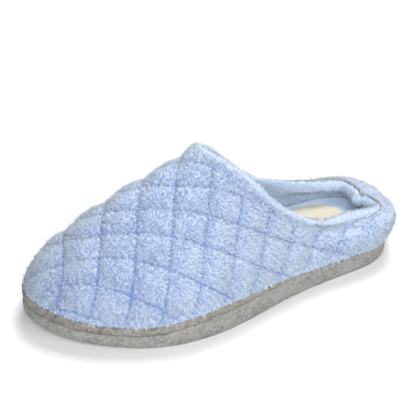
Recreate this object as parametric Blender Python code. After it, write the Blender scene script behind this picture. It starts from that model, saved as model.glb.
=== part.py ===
"""Clog slipper for the left foot: a quilted plush upper on a felt-covered sole.

Lengths are in metres. The toe points to -Y, the outer side of the foot is +X, and the
sole stands on the plane Z = 0 with the origin under the middle of the slipper's box.
While a piece is worked out, a point is (x, a, z), where a is the distance from the back
of the sole towards the toe. The pieces are turned into the frame above at the end.
"""

import math
from collections import namedtuple

import bpy
import numpy as np

MM = 0.001
GAP = 0.3 * MM

# Sole: heights above its underside, and the bends of the underside itself
CORE_TOP = 16.6 * MM
CORE_INSET = 4.8 * MM
INSOLE_FOOT = CORE_TOP + GAP
INSOLE_RISE = 3.1 * MM
TOE_SPRING = 7.5 * MM
TOE_SPRING_START = 165 * MM
TOE_SPRING_LENGTH = 85 * MM
HEEL_BEVEL = 2.0 * MM
HEEL_BEVEL_LENGTH = 26 * MM
ARCH_MIDDLE = 92 * MM
ARCH_HALF_LENGTH = 38 * MM
ARCH_LIFT_OUTER = 0.8 * MM
ARCH_LIFT_INNER = 3.0 * MM
ARCH_HALF_WIDTH = 38 * MM

# Upper
HEM_INSIDE = 4.4 * MM
EDGE_THICKNESS = 7.0 * MM
EDGE_WIDENING = 2.6 * MM
ROLL_IN = 8.5 * MM
ROLL_DOWN = 2.5 * MM
ROLL_RISE = 11 * MM
ROLL_LINING_RISE = 20 * MM
LINING_REACH = 0.88
NOTCH_DEPTH = 1.2 * MM
NOTCH_INWARD = 2.5 * MM
NOTCH_HALF_WIDTH = 3.0 * MM

# Quilting: height of a puff over its seams, where it fades out, and how round the ridge is
PUFF = 2.0 * MM
PUFF_SHARE_OUT = 0.4
QUILT_AXIS_HEIGHT = 12 * MM
QUILT_MIDDLE = 150 * MM
QUILT_HEEL_END = 16 * MM
QUILT_HEEL_FADE = 34 * MM
RIDGE_SOFTNESS = 0.15

# Piping and label
PIPING_RADIUS = 0.8 * MM
PIPING_CLEARANCE = 0.4 * MM
PIPING_LIFT = 0.5 * MM
PIPING_SHARE_OVER_EDGE = 0.8
PIPING_CLIMB_START = 42 * MM
PIPING_CLIMB_END = 58 * MM
LABEL_LENGTH = 46 * MM
LABEL_WIDTH = 38 * MM
LABEL_THICKNESS = 0.8 * MM
LABEL_MIDDLE = (-1 * MM, 48.5 * MM)

# Mesh density
STEPS_PER_STATION = 5
OUTER_ROWS = 26
RIM_ROWS = 5
LINING_ROWS = 7
LABEL_POINTS = 32

# One row for each place round the foot, from the back of the heel along the outer side
# to the toe and home along the inner side. sole_x, sole_a: the sole's outline. band:
# height of the outsole's band. strip: how much of the platform's side is left bare under
# the plush. hem: how far the plush hangs out past the outline at its lower edge. collar_x, collar_a, collar_z: the seam round the
# opening. side_reach, side_lean: how far and at what angle from upright the wall leaves
# its lower edge. top_reach, top_slope: the same at the seam, measured outwards from it,
# the slope from level. roll: 1 where the collar is a padded roll, 0 where it is a plain
# folded edge. Millimetres and degrees.
Station = namedtuple(
    "Station",
    "name sole_x sole_a band strip hem collar_x collar_a collar_z "
    "side_reach side_lean top_reach top_slope roll",
)
STATIONS = [
    Station("heel back", 0, 0, 12.5, 0.8, 1.5, 1, 13.5, 34.5, 15, 28, 15, -10, 0.3),
    Station("outer heel corner", 28, 14.5, 13.8, 0.8, 1.5, 21.5, 13.5, 35, 14, 26, 9, -10, 0.4),
    Station("outer heel", 35, 47, 14.3, 1.1, 1.2, 25, 40, 35, 14, 22, 10, -12, 0.8),
    Station("outer waist", 40, 82, 14.8, 2.0, 0.6, 28, 62, 41, 16, 18, 11, -22, 0.4),
    Station("outer arch", 47.2, 113, 15, 5.2, 0.0, 29, 81, 53, 19, 15, 17, -38, 0.1),
    Station("outer ball back", 53.3, 147, 14.5, 6.7, 0.0, 27.5, 96, 66, 24, 12, 26, -40, 0.0),
    Station("outer ball", 50.8, 180, 10.3, 7.0, 0.0, 24, 106, 78.5, 27, 8, 38, -34, 0.0),
    Station("little toe", 41.3, 206, 8.7, 6.6, -0.5, 17.5, 116, 90.5, 25, 4, 50, -29, 0.0),
    Station("outer toe", 22, 234, 8.1, 7.1, -1.0, 8.5, 124.5, 97, 20, 2, 60, -25, 0.0),
    Station("toe tip", -9, 250, 8.4, 7.2, -1.5, -3.5, 132, 100.5, 16, 0, 66, -21.5, 0.0),
    Station("big toe", -36, 235, 8.1, 7.1, -1.0, -13.5, 128, 96, 18, 2, 60, -24, 0.0),
    Station("inner toe", -45.5, 208, 8.7, 6.6, -0.5, -21, 118, 85, 22, 4, 50, -26, 0.0),
    Station("inner ball", -48, 180, 10.3, 7.0, 0.0, -25.5, 107, 72, 24, 8, 38, -30, 0.0),
    Station("inner ball back", -45, 147, 14.5, 6.7, 0.0, -28.5, 95, 58.5, 22, 12, 26, -34, 0.0),
    Station("inner arch", -37.5, 113, 15, 5.2, 0.0, -29.5, 80, 47, 18, 16, 17, -30, 0.1),
    Station("inner waist", -33.5, 82, 14.8, 2.0, 0.6, -28.5, 61, 40, 16, 18, 11, -20, 0.2),
    Station("inner heel", -33.5, 47, 14.3, 1.1, 1.2, -25, 39, 35.5, 14, 22, 10, -12, 0.25),
    Station("inner heel corner", -27, 15.5, 13.8, 0.8, 1.5, -18.5, 18.5, 34, 14, 26, 12, -10, 0.25),
]
UP = np.array([0.0, 0.0, 1.0])


def closed_spline(values, steps):
    """Smooth closed curve through the rows of values, with so many steps between rows."""
    values = np.asarray(values, float)
    count = len(values)
    one = np.eye(count)
    system = 4 * one + np.roll(one, 1, axis=0) + np.roll(one, -1, axis=0)
    following = np.roll(values, -1, axis=0)
    slopes = np.linalg.solve(system, 3 * (following - np.roll(values, 1, axis=0)))
    t = (np.arange(steps) / steps)[None, :, None]
    curve = (
        (2 * t**3 - 3 * t**2 + 1) * values[:, None]
        + (t**3 - 2 * t**2 + t) * slopes[:, None]
        + (3 * t**2 - 2 * t**3) * following[:, None]
        + (t**3 - t**2) * np.roll(slopes, -1, axis=0)[:, None]
    )
    return curve.reshape(count * steps, -1)


def column(*names):
    """Columns of the station table, carried smoothly round the foot."""
    table = [[getattr(row, name) for name in names] for row in STATIONS]
    return closed_spline(table, STEPS_PER_STATION)


def inset(loop, distance):
    """A plan outline moved inwards, square to itself, by one distance or a column of them."""
    along = np.roll(loop, -1, axis=0) - np.roll(loop, 1, axis=0)
    along /= np.linalg.norm(along, axis=1, keepdims=True)
    return loop + distance * np.stack([-along[:, 1], along[:, 0]], axis=1)


def underside(plan):
    """Height of the sole's underside: level at heel and ball, raised at arch and both ends."""
    x, a = plan[:, 0], plan[:, 1]
    toe = TOE_SPRING * np.clip((a - TOE_SPRING_START) / TOE_SPRING_LENGTH, 0, 1.05) ** 1.6
    heel = HEEL_BEVEL * np.clip(1 - a / HEEL_BEVEL_LENGTH, 0, 1) ** 2
    inner_share = np.clip(0.5 - 0.5 * x / ARCH_HALF_WIDTH, 0, 1)
    lift = ARCH_LIFT_OUTER + (ARCH_LIFT_INNER - ARCH_LIFT_OUTER) * inner_share
    arch = lift * np.clip(1 - ((a - ARCH_MIDDLE) / ARCH_HALF_LENGTH) ** 2, 0, 1) ** 2
    return toe + heel + arch


def level(plan, height):
    """A plan outline lifted to a height above the sole's underside."""
    return np.column_stack([plan, underside(plan) + height])


def bezier(handles, t):
    """Points of the cubic curves with these four handles, at the shares t along them."""
    p0, p1, p2, p3 = handles
    return (1 - t) ** 3 * p0 + 3 * t * (1 - t) ** 2 * p1 + 3 * t**2 * (1 - t) * p2 + t**3 * p3


def rows(count):
    """Shares from 0 to 1 for so many rows of points."""
    return np.linspace(0, 1, count)[:, None, None]


def outsole_rings(outline):
    """Lower band of the sole: a small round at the floor and a chamfer into the groove."""
    top = column("band")[:, 0] * MM
    above_floor = [(0.0, 1.6), (0.7, 0.5), (2.4, 0.0)]
    under_groove = [(2.2, 0.0), (0.6, 0.1), (0.0, 0.9)]
    lower = [level(inset(outline, step_in * MM), height * MM) for height, step_in in above_floor]
    upper = [level(inset(outline, step_in * MM), top - drop * MM) for drop, step_in in under_groove]
    return lower + upper


def strip_foot():
    """Height of the platform's lower edge above the sole's underside."""
    return column("band")[:, 0] * MM + GAP


def platform_rings(outline):
    """Upper band of the sole: a strip with a ledge for the hem, and a core under the insole."""
    foot = strip_foot()
    top = foot + column("strip")[:, 0] * MM
    return [
        level(inset(outline, 0.9 * MM), foot),
        level(inset(outline, 0.1 * MM), foot + 0.4 * MM),
        level(inset(outline, 0.1 * MM), top - 0.3 * MM),
        level(inset(outline, 0.5 * MM), top),
        level(inset(outline, CORE_INSET), top),
        level(inset(outline, CORE_INSET + 1.2 * MM), CORE_TOP),
    ]


def insole_rings(outline):
    """Padded insole: straight edge, rounded shoulder and a shallow dish."""
    steps = [(0.0, 6.4), (1.6, 6.1), (2.7, 6.9), (3.1, 8.6), (2.9, 13.0)]
    return [level(inset(outline, step_in * MM), INSOLE_FOOT + height * MM) for height, step_in in steps]


def label_rings():
    """Oval label on the heel seat of the insole."""
    turn = np.linspace(0, 2 * math.pi, LABEL_POINTS, endpoint=False)
    x = LABEL_MIDDLE[0] + LABEL_WIDTH / 2 * np.sin(turn)
    a = LABEL_MIDDLE[1] - LABEL_LENGTH / 2 * np.cos(turn)
    plan = np.stack([x, a], axis=1)
    foot = INSOLE_FOOT + INSOLE_RISE + GAP
    return [level(plan, foot), level(plan, foot + LABEL_THICKNESS)]


def quilt_numbers(points):
    """Numbers that count the two families of quilting seams; a seam is at each whole number.

    The cloth is quilted in squares and lies aslant over the foot. Down the outer side from the
    ridge the long seams run towards the heel and the cross seams towards the toe, and down the
    inner side the other way round. Each number is the distance along the foot from where the
    family starts, in steps of its spacing. Start and spacing change with the turn about a long
    axis low in the foot, counted apart for the two sides of a soft ridge.
    """
    along = points[..., 1]
    bend = (along - QUILT_MIDDLE) / (100 * MM)
    turn = np.arctan2(points[..., 0], points[..., 2] - QUILT_AXIS_HEIGHT)
    outer = RIDGE_SOFTNESS * np.log1p(np.exp(turn / RIDGE_SOFTNESS))
    inner = outer - turn
    to_toe = 24.7 - 11.4 * bend
    long_start = 243.5 - 8.1 * bend**2 - (84.3 + 27.3 * bend) * outer + to_toe * inner
    cross_start = 154.5 - 72.2 * inner + to_toe * outer
    long_spacing = 21.1 * (1 + 1.65 * np.sin(outer))
    cross_spacing = 24.0 * (1 + 0.8 * np.sin(inner))
    return (long_start - along / MM) / long_spacing, (cross_start - along / MM) / cross_spacing


def puffed(outer):
    """The outside of the wall with a puff between the quilting seams, plain at both edges."""
    long_seams, cross_seams = quilt_numbers(outer)
    puff = np.abs(np.sin(math.pi * long_seams) * np.sin(math.pi * cross_seams)) ** 1.5
    share = rows(len(outer))[..., 0]
    plain = np.clip(share / 0.08, 0, 1) * np.clip((1 - share) / 0.10, 0, 1)
    plain = plain * np.clip((outer[..., 1] - QUILT_HEEL_END) / QUILT_HEEL_FADE, 0, 1)
    around = np.roll(outer, -1, axis=1) - np.roll(outer, 1, axis=1)
    upward = np.gradient(outer, axis=0)
    square = np.cross(around, upward)
    square = square / np.linalg.norm(square, axis=-1, keepdims=True)
    lift = PUFF * plain * (puff - 1 + PUFF_SHARE_OUT)
    return outer + square * lift[..., None]


class Wall:
    """The upper's wall: outside from hem to seam, rim over the edge, lining back down."""

    def __init__(self, outline):
        seam = column("collar_x", "collar_a", "collar_z") * MM
        behind = np.exp(-(((seam[:, 0] - seam[0, 0]) / NOTCH_HALF_WIDTH) ** 2)) * (seam[:, 1] < 30 * MM)
        seam[:, 1] += NOTCH_INWARD * behind
        seam[:, 2] -= NOTCH_DEPTH * behind
        reach = column("side_reach", "top_reach") * MM
        lean, slope = np.radians(column("side_lean", "top_slope")).T[..., None]
        roll = np.clip(column("roll"), 0, 1)
        seat = strip_foot() + column("strip")[:, 0] * MM + GAP
        hem = level(inset(outline, -column("hem") * MM), seat)
        hem_inside = level(inset(outline, HEM_INSIDE), seat)
        out = np.column_stack([(hem - seam)[:, :2], np.zeros(len(hem))])
        out /= np.linalg.norm(out, axis=1, keepdims=True)
        side = out * np.sin(lean) + UP * np.cos(lean)
        top = out * np.cos(slope) + UP * np.sin(slope)
        square = UP * np.cos(slope) - out * np.sin(slope)
        outer = (hem, hem + side * reach[:, :1], seam + top * reach[:, 1:], seam)

        def shared(plain, rolled):
            return plain * (1 - roll) + rolled * roll

        along = np.roll(seam, -1, axis=0) - np.roll(seam, 1, axis=0)
        across = np.column_stack([along[:, 1], -along[:, 0], np.zeros(len(seam))])
        across /= np.linalg.norm(across, axis=1, keepdims=True)
        skew = 1 - np.sum(out * across, axis=1, keepdims=True) ** 2
        end = shared(seam - square * EDGE_THICKNESS, seam - out * ROLL_IN - UP * ROLL_DOWN)
        end = end - across * EDGE_WIDENING * skew
        pull = shared(top * reach[:, 1:] * LINING_REACH, (out * 0.65 - UP * 0.35) * ROLL_IN)
        pull_way = pull / np.linalg.norm(pull, axis=1, keepdims=True)
        start = shared(-top * EDGE_THICKNESS * 0.66, (-out * 0.57 + UP * 0.82) * ROLL_RISE)
        round_over = shared(0.66, 0.86) * EDGE_THICKNESS
        rise = shared(reach[:, :1] * LINING_REACH, ROLL_LINING_RISE)
        lining = (end, end + pull, hem_inside + UP * rise, hem_inside)

        self.roll = roll
        self.rim_handles = (seam, seam + start, end - pull_way * round_over, end)
        self.outer = puffed(bezier(outer, rows(OUTER_ROWS)))
        self.rim = bezier(self.rim_handles, rows(RIM_ROWS + 2))[1:-1]
        self.lining = bezier(lining, rows(LINING_ROWS))

    def rings(self):
        """Rings that run up the outside, over the rim and down the lining."""
        return [*self.outer, *self.rim, *self.lining]

    def piping_path(self):
        """Middle line of the piping: on the seam behind, over the edge where the collar climbs."""
        height = self.rim_handles[0][:, 2:]
        climb = np.clip((height - PIPING_CLIMB_START) / (PIPING_CLIMB_END - PIPING_CLIMB_START), 0, 1)
        share = PIPING_SHARE_OVER_EDGE * climb
        on_rim = bezier(self.rim_handles, share)
        ahead = bezier(self.rim_handles, share + 0.01) - on_rim
        around = np.roll(on_rim, -1, axis=0) - np.roll(on_rim, 1, axis=0)
        square = np.cross(around, ahead)
        square /= np.linalg.norm(square, axis=1, keepdims=True)
        return on_rim + square * (PIPING_RADIUS + PIPING_CLEARANCE) + UP * PIPING_LIFT * self.roll


def to_frame(points, shift):
    """Working points (x, a, z) as points of the slipper's frame."""
    return np.stack([points[..., 0], -points[..., 1], points[..., 2]], axis=-1) + shift


def band(first, second, count):
    """Faces between two closed rings of points, given the rings' first indices."""
    return [(first + i, second + i, second + (i + 1) % count, first + (i + 1) % count) for i in range(count)]


def ladder(first, count):
    """Faces that close a ring across the foot, from its outer to its inner side."""
    half = count // 2
    rungs = [(first + count - i, first + count - i - 1, first + i + 1, first + i) for i in range(1, half - 1)]
    heel_end = (first + count - 1, first + 1, first)
    toe_end = (first + half + 1, first + half, first + half - 1)
    return [heel_end, *rungs, toe_end]


def add_mesh(name, points, faces, material, collection):
    mesh = bpy.data.meshes.new(name)
    mesh.from_pydata(points.tolist(), [], faces)
    mesh.validate()
    mesh.shade_smooth()
    mesh.set_sharp_from_angle(angle=math.radians(40))
    mesh.materials.append(material)
    collection.objects.link(bpy.data.objects.new(name, mesh))


def add_slab(name, rings, material, collection):
    """A solid through rings from its lower to its upper edge, closed across both ends."""
    count = len(rings[0])
    last = len(rings) - 1
    faces = [face[::-1] for face in ladder(0, count)]
    for row in range(last):
        faces += band(row * count, (row + 1) * count, count)
    faces += ladder(last * count, count)
    add_mesh(name, np.concatenate(rings), faces, material, collection)


def add_wall(name, rings, material, collection):
    """A hollow wall through rings that run up its outside and down its inside."""
    count = len(rings[0])
    faces = []
    for row in range(len(rings)):
        faces += band(row * count, (row + 1) % len(rings) * count, count)
    add_mesh(name, np.concatenate(rings), faces, material, collection)


def add_tube(name, path, radius, material, collection):
    """A closed round tube along a path."""
    curve = bpy.data.curves.new(name, "CURVE")
    curve.dimensions = "3D"
    curve.bevel_depth = radius
    curve.bevel_resolution = 1
    spline = curve.splines.new("POLY")
    spline.points.add(len(path) - 1)
    spline.points.foreach_set("co", np.column_stack([path, np.ones(len(path))]).ravel())
    spline.use_cyclic_u = True
    curve.materials.append(material)
    collection.objects.link(bpy.data.objects.new(name, curve))


def finish(name, colour, roughness):
    material = bpy.data.materials.new(name)
    material.use_nodes = True
    shader = material.node_tree.nodes["Principled BSDF"]
    shader.inputs["Base Color"].default_value = (*colour, 1.0)
    shader.inputs["Roughness"].default_value = roughness
    shader.inputs["Metallic"].default_value = 0.0
    material.diffuse_color = (*colour, 1.0)
    return material


def main():
    for old in list(bpy.data.objects):
        bpy.data.objects.remove(old, do_unlink=True)
    collection = bpy.data.collections.new("clog_slipper")
    bpy.context.scene.collection.children.link(collection)
    plush = finish("blue plush", (0.36, 0.50, 0.86), 0.95)
    insole_cloth = finish("blue insole cloth", (0.50, 0.64, 0.90), 0.9)
    felt = finish("grey felt", (0.30, 0.29, 0.27), 0.9)
    tape = finish("grey tape", (0.36, 0.36, 0.34), 0.85)
    cream = finish("cream label", (0.80, 0.74, 0.62), 0.8)

    outline = column("sole_x", "sole_a") * MM
    wall = Wall(outline)
    solids = {
        "outsole": (outsole_rings(outline), felt, add_slab),
        "platform": (platform_rings(outline), felt, add_slab),
        "insole": (insole_rings(outline), insole_cloth, add_slab),
        "label": (label_rings(), cream, add_slab),
        "upper": (wall.rings(), plush, add_wall),
    }
    every = to_frame(np.concatenate([ring for rings, _, _ in solids.values() for ring in rings]), 0)
    low, high = every.min(axis=0), every.max(axis=0)
    shift = -np.array([(low[0] + high[0]) / 2, (low[1] + high[1]) / 2, low[2]])
    for name, (rings, material, add) in solids.items():
        add(name, [to_frame(ring, shift) for ring in rings], material, collection)
    add_tube("collar_piping", to_frame(wall.piping_path(), shift), PIPING_RADIUS, tape, collection)


main()
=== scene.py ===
"""Clog slipper for the left foot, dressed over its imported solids.

Lengths are in metres, apart from the tables that say otherwise. The toe points to -Y, the outer
side of the foot is +X and the floor is the plane Z = 0. While a surface is worked out, a point is
(x, a, z), where a is the distance from the back of the sole towards the toe; FootForm.to_frame
turns it into the frame.
"""

import logging
import math
from collections.abc import Iterable
from dataclasses import dataclass, replace
from enum import Enum, IntEnum
from typing import Self

import bmesh
import bpy
import numpy as np
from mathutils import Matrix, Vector


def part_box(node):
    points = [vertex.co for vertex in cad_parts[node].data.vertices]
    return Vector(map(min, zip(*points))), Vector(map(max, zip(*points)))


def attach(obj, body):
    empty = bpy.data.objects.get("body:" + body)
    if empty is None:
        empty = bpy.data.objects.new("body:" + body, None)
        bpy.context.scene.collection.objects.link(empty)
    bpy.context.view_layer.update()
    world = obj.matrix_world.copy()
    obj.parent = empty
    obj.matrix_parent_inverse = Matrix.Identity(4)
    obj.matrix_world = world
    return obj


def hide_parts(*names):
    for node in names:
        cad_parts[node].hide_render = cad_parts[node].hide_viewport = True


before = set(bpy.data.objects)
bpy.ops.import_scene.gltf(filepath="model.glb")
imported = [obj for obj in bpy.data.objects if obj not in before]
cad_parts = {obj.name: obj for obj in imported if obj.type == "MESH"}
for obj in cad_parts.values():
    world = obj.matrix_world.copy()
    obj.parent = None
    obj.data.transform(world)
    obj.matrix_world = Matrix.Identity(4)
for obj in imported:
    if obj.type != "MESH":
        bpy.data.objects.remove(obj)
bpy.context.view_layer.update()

Array = np.ndarray
Handles = tuple[Array, Array, Array, Array]
Colour = tuple[float, float, float]
Numbers = tuple[float, ...]
LOG = logging.getLogger("clog_slipper")

MM = 0.001
GAP = 0.3 * MM
UP = np.array([0.0, 0.0, 1.0])
LEVEL = np.array([1.0, 1.0, 0.0])
TO_HEEL = np.array([0.0, -1.0, 0.0])


@dataclass(frozen=True)
class Station:
    """One place round the foot: the sole's outline, the collar's seam and the wall between.

    Lengths are in millimetres and angles in degrees. Band and strip are the heights of the sole's
    two bands, hem is how far the upper stands past the sole, and roll is 1 where the collar's edge
    is rolled over and 0 where it is plain.
    """

    name: str
    sole_x: float
    sole_a: float
    band: float
    strip: float
    hem: float
    collar_x: float
    collar_a: float
    collar_z: float
    side_reach: float
    side_lean: float
    top_reach: float
    top_slope: float
    roll: float


STATIONS: tuple[Station, ...] = (
    Station("heel back", 0, 0, 12.5, 0.8, 1.5, 1, 13.5, 34.5, 15, 28, 15, -10, 0.3),
    Station("outer heel corner", 28, 14.5, 13.8, 0.8, 1.5, 21.5, 13.5, 35, 14, 26, 9, -10, 0.4),
    Station("outer heel", 35, 47, 14.3, 1.1, 1.2, 25, 40, 35, 14, 22, 10, -12, 0.8),
    Station("outer waist", 40, 82, 14.8, 2.0, 0.6, 28, 62, 41, 16, 18, 11, -22, 0.4),
    Station("outer arch", 47.2, 113, 15, 5.2, 0.0, 29, 81, 53, 19, 15, 17, -38, 0.1),
    Station("outer ball back", 53.3, 147, 14.5, 6.7, 0.0, 27.5, 96, 66, 24, 12, 26, -40, 0.0),
    Station("outer ball", 50.8, 180, 10.3, 7.0, 0.0, 24, 106, 78.5, 27, 8, 38, -34, 0.0),
    Station("little toe", 41.3, 206, 8.7, 6.6, -0.5, 17.5, 116, 90.5, 25, 4, 50, -29, 0.0),
    Station("outer toe", 22, 234, 8.1, 7.1, -1.0, 8.5, 124.5, 97, 20, 2, 60, -25, 0.0),
    Station("toe tip", -9, 250, 8.4, 7.2, -1.5, -3.5, 132, 100.5, 16, 0, 66, -21.5, 0.0),
    Station("big toe", -36, 235, 8.1, 7.1, -1.0, -13.5, 128, 96, 18, 2, 60, -24, 0.0),
    Station("inner toe", -45.5, 208, 8.7, 6.6, -0.5, -21, 118, 85, 22, 4, 50, -26, 0.0),
    Station("inner ball", -48, 180, 10.3, 7.0, 0.0, -25.5, 107, 72, 24, 8, 38, -30, 0.0),
    Station("inner ball back", -45, 147, 14.5, 6.7, 0.0, -28.5, 95, 58.5, 22, 12, 26, -34, 0.0),
    Station("inner arch", -37.5, 113, 15, 5.2, 0.0, -29.5, 80, 47, 18, 16, 17, -30, 0.1),
    Station("inner waist", -33.5, 82, 14.8, 2.0, 0.6, -28.5, 61, 40, 16, 18, 11, -20, 0.2),
    Station("inner heel", -33.5, 47, 14.3, 1.1, 1.2, -25, 39, 35.5, 14, 22, 10, -12, 0.25),
    Station("inner heel corner", -27, 15.5, 13.8, 0.8, 1.5, -18.5, 18.5, 34, 14, 26, 12, -10, 0.25),
)


class PileZone(Enum):
    """Stretches of the collar's round, by station number, that carry one piece of pile each."""

    HEEL = (-2.6, 2.6)
    OUTER_SIDE = (2.6, 6.4)
    TOE_OUTER = (6.4, 9.0)
    TOE_INNER = (9.0, 11.6)
    INNER_SIDE = (11.6, 15.4)


class Seed(IntEnum):
    """Starts of the random draws, one for each use; a use with several counts on from its own."""

    FELT = 5
    FINE_FELT = 6
    CLUMP = 11
    STRAND = 21
    LINING_CLUMP = 31
    PLACE = 40
    STRAY = 50
    TUFT = 60
    LINING_PLACE = 71
    LINING_TUFT = 72
    HEM = 91
    CURL = 95


def bezier(handles: Handles, t: Array) -> Array:
    """Points of the cubic curves with four handles each.

    Args:
        handles: start, start pull, end pull and end of the curves.
        t: shares along the curves, from 0 to 1.

    Returns:
        The points, one row of curves for each share.
    """
    p0, p1, p2, p3 = handles
    return (1 - t) ** 3 * p0 + 3 * t * (1 - t) ** 2 * p1 + 3 * t**2 * (1 - t) * p2 + t**3 * p3


def shares(count: int) -> Array:
    """Shares from 0 to 1 for so many rows of a grid of points."""
    return np.linspace(0, 1, count)[:, None, None]


def unit(vectors: Array) -> Array:
    """The vectors at length one."""
    return vectors / np.maximum(np.linalg.norm(vectors, axis=-1, keepdims=True), 1e-12)


def ramp(values: Array, start: float, length: float) -> Array:
    """0 up to the start, 1 from a length past it, and straight between."""
    return np.clip((values - start) / length, 0, 1)


def loop_way(loop: Array, axis: int = 0) -> Array:
    """Way along a closed loop at each point: from the point before to the point after."""
    return np.roll(loop, -1, axis=axis) - np.roll(loop, 1, axis=axis)


def ring_normals(grid: Array) -> Array:
    """Outward normals of a grid of rings that run up the outside: the way round by the way up."""
    return unit(np.cross(loop_way(grid, axis=1), np.gradient(grid, axis=0)))


def ripple(points: Array, wavelength: float, seed: int, waves: int = 14) -> Array:
    """Smooth noise of about unit spread: a sum of sines along random directions.

    Their frequencies are 0.7 to 1.5 times that of the wavelength.

    Args:
        points: places to read it at.
        wavelength: mean distance between two crests.
        seed: picks the directions and phases.
        waves: how many sines are summed.

    Returns:
        One number for each point.
    """
    rng = np.random.default_rng(seed)
    ways = unit(rng.normal(size=(waves, 3))) * rng.uniform(0.7, 1.5, (waves, 1))
    phases = rng.uniform(0, 2 * math.pi, waves)
    total = np.zeros(points.shape[:-1])
    for way, phase in zip(ways, phases):
        total += np.sin(points @ (way * 2 * math.pi / wavelength) + phase)
    return total * math.sqrt(2 / waves)


@dataclass(frozen=True)
class FootForm:
    """The slipper's shared form: outline, underside and the station table carried round it."""

    around: int = 480
    core_top: float = 16.6 * MM
    toe_spring: float = 7.5 * MM
    toe_spring_start: float = 165 * MM
    toe_spring_length: float = 85 * MM
    toe_spring_power: float = 1.6
    toe_spring_limit: float = 1.05
    heel_bevel: float = 2.0 * MM
    heel_bevel_length: float = 26 * MM
    arch_middle: float = 92 * MM
    arch_half_length: float = 38 * MM
    arch_lift_outer: float = 0.8 * MM
    arch_lift_inner: float = 3.0 * MM
    arch_half_width: float = 38 * MM

    @property
    def strip_foot(self) -> Array:
        """Height of the platform's lower edge over the underside, round the foot."""
        return self.column("band")[:, 0] * MM + GAP

    @property
    def strip_top(self) -> Array:
        """Height of the platform's visible upper edge over the underside, round the foot."""
        return self.strip_foot + self.column("strip")[:, 0] * MM

    @property
    def insole_foot(self) -> float:
        """Height of the insole's lower face over the underside."""
        return self.core_top + GAP

    def column(self, *names: str) -> Array:
        """Columns of the station table as closed cubic splines, read evenly round the foot.

        Args:
            names: the columns' names.

        Returns:
            One row for each place round the foot, one column for each name.
        """
        values = np.array([[getattr(row, name) for name in names] for row in STATIONS], float)
        count = len(values)
        one = np.eye(count)
        system = 4 * one + np.roll(one, 1, axis=0) + np.roll(one, -1, axis=0)
        after = np.roll(values, -1, axis=0)
        slopes = np.linalg.solve(system, 3 * loop_way(values))
        place = np.arange(self.around) * count / self.around
        row = place.astype(int)
        t = (place - row)[:, None]
        return (
            (2 * t**3 - 3 * t**2 + 1) * values[row]
            + (t**3 - 2 * t**2 + t) * slopes[row]
            + (3 * t**2 - 2 * t**3) * after[row]
            + (t**3 - t**2) * np.roll(slopes, -1, axis=0)[row]
        )

    def outline(self) -> Array:
        """Plan outline of the sole."""
        return self.column("sole_x", "sole_a") * MM

    @staticmethod
    def inset(loop: Array, distance: float | Array) -> Array:
        """A plan outline moved inwards, square to itself.

        Args:
            loop: the outline's points.
            distance: how far, one number or a column.

        Returns:
            The moved outline.
        """
        along = unit(loop_way(loop))
        return loop + distance * np.stack([-along[:, 1], along[:, 0]], axis=1)

    def underside(self, plan: Array) -> Array:
        """Height of the underside: level at heel and ball, raised at the arch and both ends.

        Args:
            plan: plan points (x, a).

        Returns:
            The underside's height at each point.
        """
        x, a = plan[..., 0], plan[..., 1]
        share = np.clip((a - self.toe_spring_start) / self.toe_spring_length, 0, self.toe_spring_limit)
        toe = self.toe_spring * share**self.toe_spring_power
        heel = self.heel_bevel * np.clip(1 - a / self.heel_bevel_length, 0, 1) ** 2
        inner = np.clip(0.5 - 0.5 * x / self.arch_half_width, 0, 1)
        lift = self.arch_lift_outer + (self.arch_lift_inner - self.arch_lift_outer) * inner
        hump = np.clip(1 - ((a - self.arch_middle) / self.arch_half_length) ** 2, 0, 1) ** 2
        return toe + heel + lift * hump

    def level(self, plan: Array, height: float | Array) -> Array:
        """A plan outline lifted to a height over the underside."""
        return np.concatenate([plan, (self.underside(plan) + height)[..., None]], axis=-1)

    def rings(self, heights: Iterable[float | Array], insets: Iterable[float]) -> list[Array]:
        """The sole's outline as rings up a side.

        Args:
            heights: height of each ring over the underside, one number or one for each place.
            insets: how far each ring lies inside the outline, in millimetres.

        Returns:
            The rings.
        """
        outline = self.outline()
        return [self.level(self.inset(outline, i * MM), h) for h, i in zip(heights, insets)]

    def to_frame(self, points: Array) -> Array:
        """Working points (x, a, z) as points of the frame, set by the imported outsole's box.

        Args:
            points: working points.

        Returns:
            The same points in the frame.
        """
        low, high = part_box("outsole")
        shift = np.array([high.x - self.outline()[:, 0].max(), high.y, low.z])
        return np.stack([points[..., 0], -points[..., 1], points[..., 2]], axis=-1) + shift


FORM = FootForm()


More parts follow.
